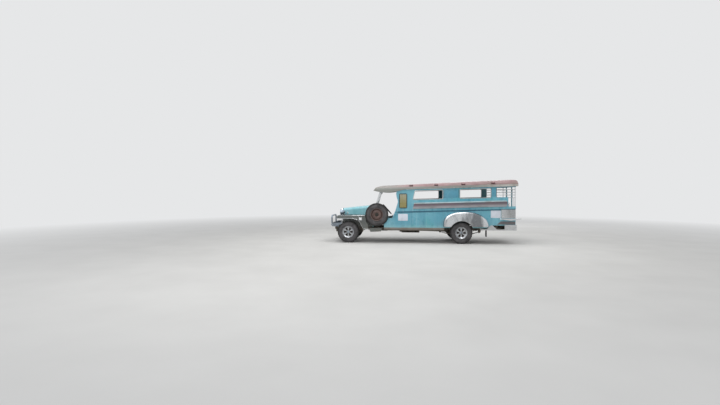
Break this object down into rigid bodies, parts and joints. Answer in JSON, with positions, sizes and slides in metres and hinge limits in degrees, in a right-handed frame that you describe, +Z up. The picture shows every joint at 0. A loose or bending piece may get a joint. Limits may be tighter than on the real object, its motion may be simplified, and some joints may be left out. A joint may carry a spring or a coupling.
{
  "type": "jeepney",
  "caption": "Long-bodied open-sided passenger jeepney with facing benches, rear entrance, side-mounted spare wheel and streamlined rear fenders.",
  "frame": {"origin": "on the ground, at the middle of the length and of the width", "axes": "+X forward, +Y to the vehicle's left, +Z up"},
  "size_m": [6.114, 1.88, 2.0609],
  "materials": {
    "body_paint": "worn light blue gloss paint",
    "hood_paint": "sun-bleached pale aqua gloss paint",
    "roof_paint": "faded matte red paint",
    "stainless": "polished stainless sheet",
    "fender_steel": "dull brushed sheet",
    "chrome_trim": "polished",
    "frame_black": "matte black paint",
    "cast": "oily bare casting",
    "rubber_tyre": "dusty rubber",
    "alloy": "satin alloy",
    "rusty_rim": "brown weathered paint",
    "glass": "clear",
    "vinyl": "dark red vinyl",
    "dash_black": "moulded black",
    "pane_ochre": "yellowed sheet in a dark frame",
    "strip_silver": "weathered silver with a brown band",
    "flap_rubber": "sheet rubber",
    "lamp": "polished bucket with clear lens"
  },
  "bodies": {
    "chassis": {"bench_backs": "vinyl", "bench_bases": "body_paint", "bench_cushions": "vinyl", "body_side_left": "body_paint", "body_side_right": "body_paint", "chassis_frame": "frame_black", "corner_bars": "chrome_trim", "corner_plates": "stainless", "cowl": "body_paint", "engine": "cast", "exhaust": "cast", "floor": "frame_black", "floor_bearers": "frame_black", "front_axle": "cast", "front_bumper": "chrome_trim", "front_fender_left": "fender_steel", "front_fender_right": "fender_steel", "front_seat_back": "vinyl", "front_seat_base": "body_paint", "front_seat_cushion": "vinyl", "fuel_tank": "frame_black", "grab_rails": "chrome_trim", "grille": "stainless", "headlamps": "lamp", "leaf_springs_front": "frame_black", "leaf_springs_rear": "frame_black", "mud_flaps": "flap_rubber", "propshaft": "frame_black", "quarter_panels": "pane_ochre", "radiator": "frame_black", "rear_axle": "cast", "rear_bumper": "chrome_trim", "rear_fender_left": "stainless", "rear_fender_right": "stainless", "rear_frame": "body_paint", "rear_wings": "stainless", "roof": "roof_paint", "side_steps": "fender_steel", "sign_strips": "strip_silver", "sill_rails": "fender_steel", "spare_carrier": "frame_black", "spare_rim": "rusty_rim", "spare_tyre": "rubber_tyre", "steering_column": "dash_black", "windscreen_frame": "chrome_trim", "windscreen_glass": "glass"},
    "knuckle_left": {"knuckle_left": "cast"},
    "knuckle_right": {"knuckle_right": "cast"},
    "tie_rod": {"tie_rod": "frame_black"},
    "wheel_front_left": {"tyre_front_left": "rubber_tyre", "rim_front_left": "alloy"},
    "wheel_front_right": {"tyre_front_right": "rubber_tyre", "rim_front_right": "alloy"},
    "wheel_rear_left": {"tyre_rear_left": "rubber_tyre", "rim_rear_left": "alloy"},
    "wheel_rear_right": {"tyre_rear_right": "rubber_tyre", "rim_rear_right": "alloy"},
    "steering_wheel": {"steering_wheel": "dash_black"},
    "hood": {"hood": "hood_paint"}
  },
  "joints": [
    {"name": "steer_left", "type": "hinge", "parent": "chassis", "child": "knuckle_left", "pos_m": [2.436, 0.545, 0.35], "axis": [0, 0, 1], "range_deg": [-30, 30]},
    {"name": "steer_right", "type": "hinge", "parent": "chassis", "child": "knuckle_right", "pos_m": [2.436, -0.545, 0.35], "axis": [0, 0, 1], "range_deg": [-30, 30]},
    {"name": "track_rod_swing", "type": "hinge", "parent": "knuckle_left", "child": "tie_rod", "pos_m": [2.276, 0.545, 0.362], "axis": [0, 0, 1], "range_deg": [-30, 30]},
    {"name": "steering_wheel_turn", "type": "hinge", "parent": "chassis", "child": "steering_wheel", "pos_m": [1.175, 0.33, 1.085], "axis": [-0.7547, 0, 0.6561], "range_deg": [-540, 540]},
    {"name": "front_left_spin", "type": "hinge", "parent": "knuckle_left", "child": "wheel_front_left", "pos_m": [2.436, 0.695, 0.35], "axis": [0, 1, 0], "continuous": true},
    {"name": "front_right_spin", "type": "hinge", "parent": "knuckle_right", "child": "wheel_front_right", "pos_m": [2.436, -0.695, 0.35], "axis": [0, 1, 0], "continuous": true},
    {"name": "rear_left_spin", "type": "hinge", "parent": "chassis", "child": "wheel_rear_left", "pos_m": [-1.204, 0.725, 0.35], "axis": [0, 1, 0], "continuous": true},
    {"name": "rear_right_spin", "type": "hinge", "parent": "chassis", "child": "wheel_rear_right", "pos_m": [-1.204, -0.725, 0.35], "axis": [0, 1, 0], "continuous": true},
    {"name": "hood_hinge", "type": "hinge", "parent": "chassis", "child": "hood", "pos_m": [1.652, 0, 1.232], "axis": [0, -1, 0], "range_deg": [0, 60]}
  ],
  "couplings": [
    {"joint": "steer_right", "follows": "steer_left", "ratio": 1},
    {"joint": "track_rod_swing", "follows": "steer_left", "ratio": -1},
    {"joint": "steering_wheel_turn", "follows": "steer_left", "ratio": 18}
  ]
}
